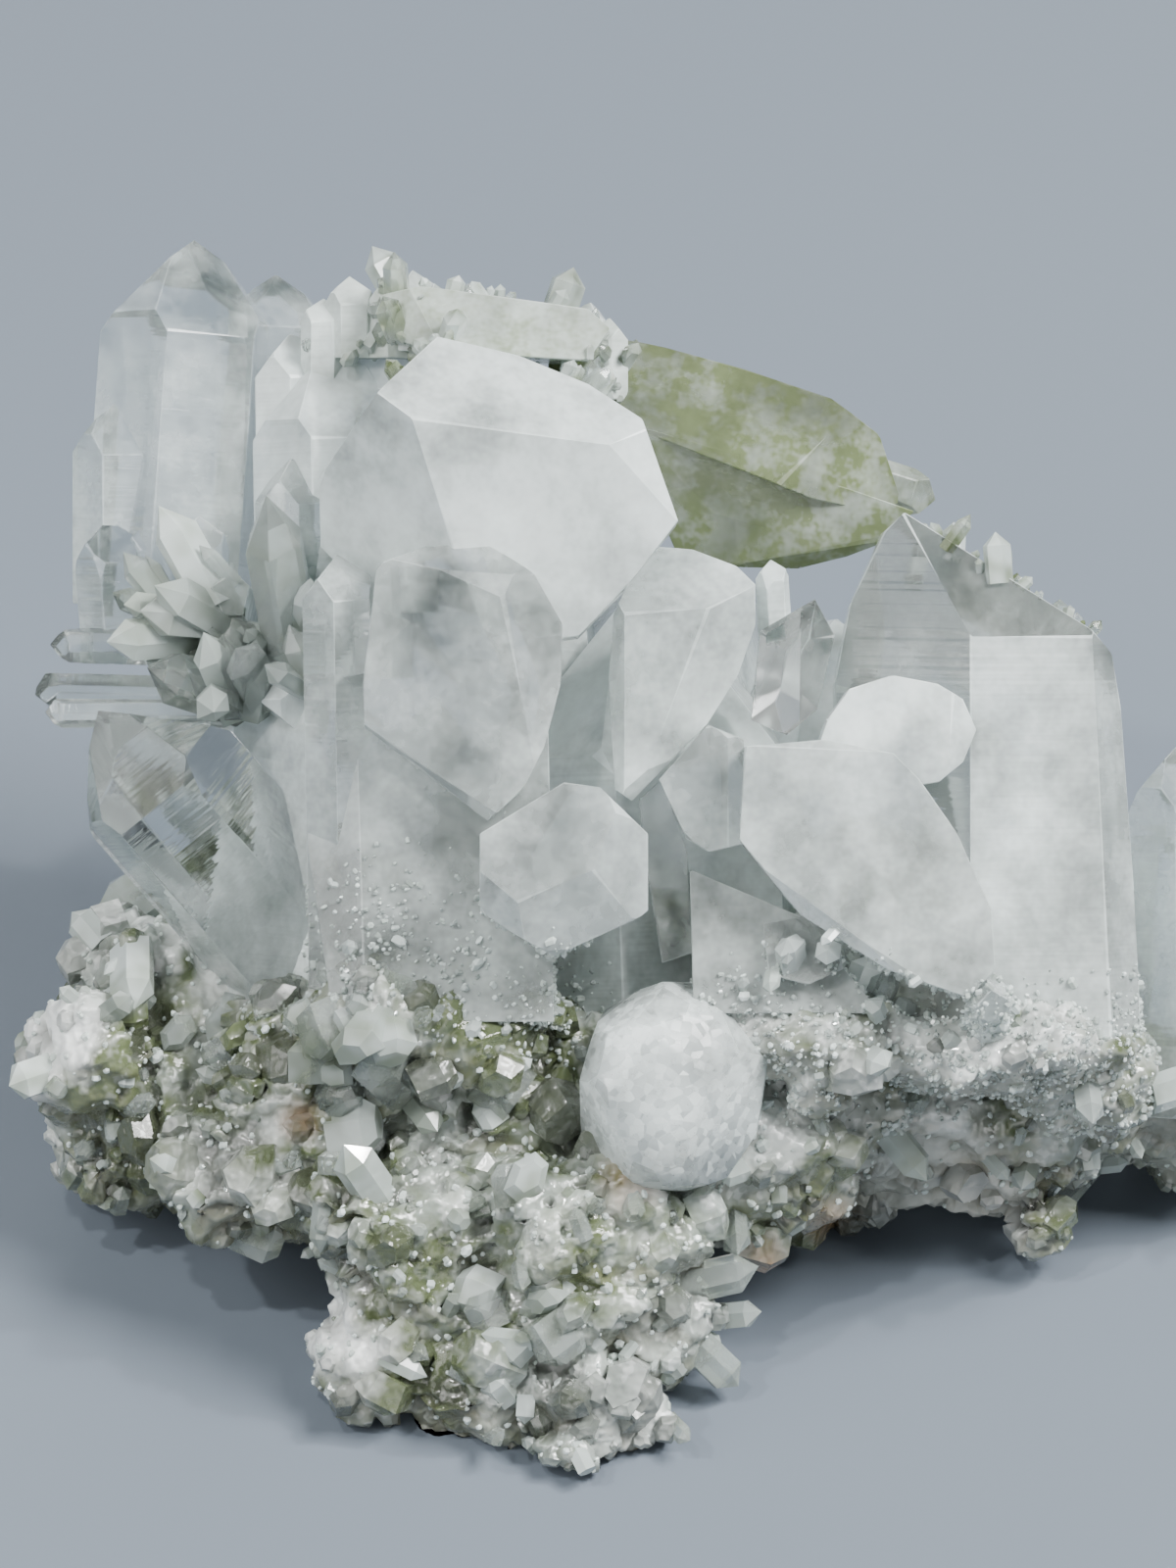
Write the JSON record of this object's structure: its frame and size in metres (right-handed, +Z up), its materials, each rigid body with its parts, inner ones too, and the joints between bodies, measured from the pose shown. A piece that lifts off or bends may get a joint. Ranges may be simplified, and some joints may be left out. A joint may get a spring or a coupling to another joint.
{
  "type": "quartz crystal cluster",
  "caption": "Cluster of milky and clear quartz crystals, partly green with chlorite, grown on a granular rock matrix that rests on its flat break.",
  "frame": {"origin": "on the flat break under the rock, where the specimen rests, about under the middle of the cluster", "axes": "+Z up from the surface it rests on, +X along its long side to the right of the display face, -Y towards the viewer of the display face"},
  "size_m": [0.0765, 0.0613, 0.0522],
  "materials": {
    "milky_quartz": "milky translucent crystal faces, slightly etched",
    "clear_quartz": "clear crystal with veils and fractures",
    "chlorite_quartz": "crystal clouded green by chlorite",
    "matrix_rock": "granular sugary quartz and feldspar with chlorite grains and rust spots"
  },
  "bodies": {
    "root": {"quartz_cluster": "milky_quartz", "lower_left_crystal": "clear_quartz", "edge_crystals": "clear_quartz", "chlorite_crystals": "chlorite_quartz", "rounded_crystal": "milky_quartz", "matrix": "matrix_rock"}
  },
  "joints": []
}
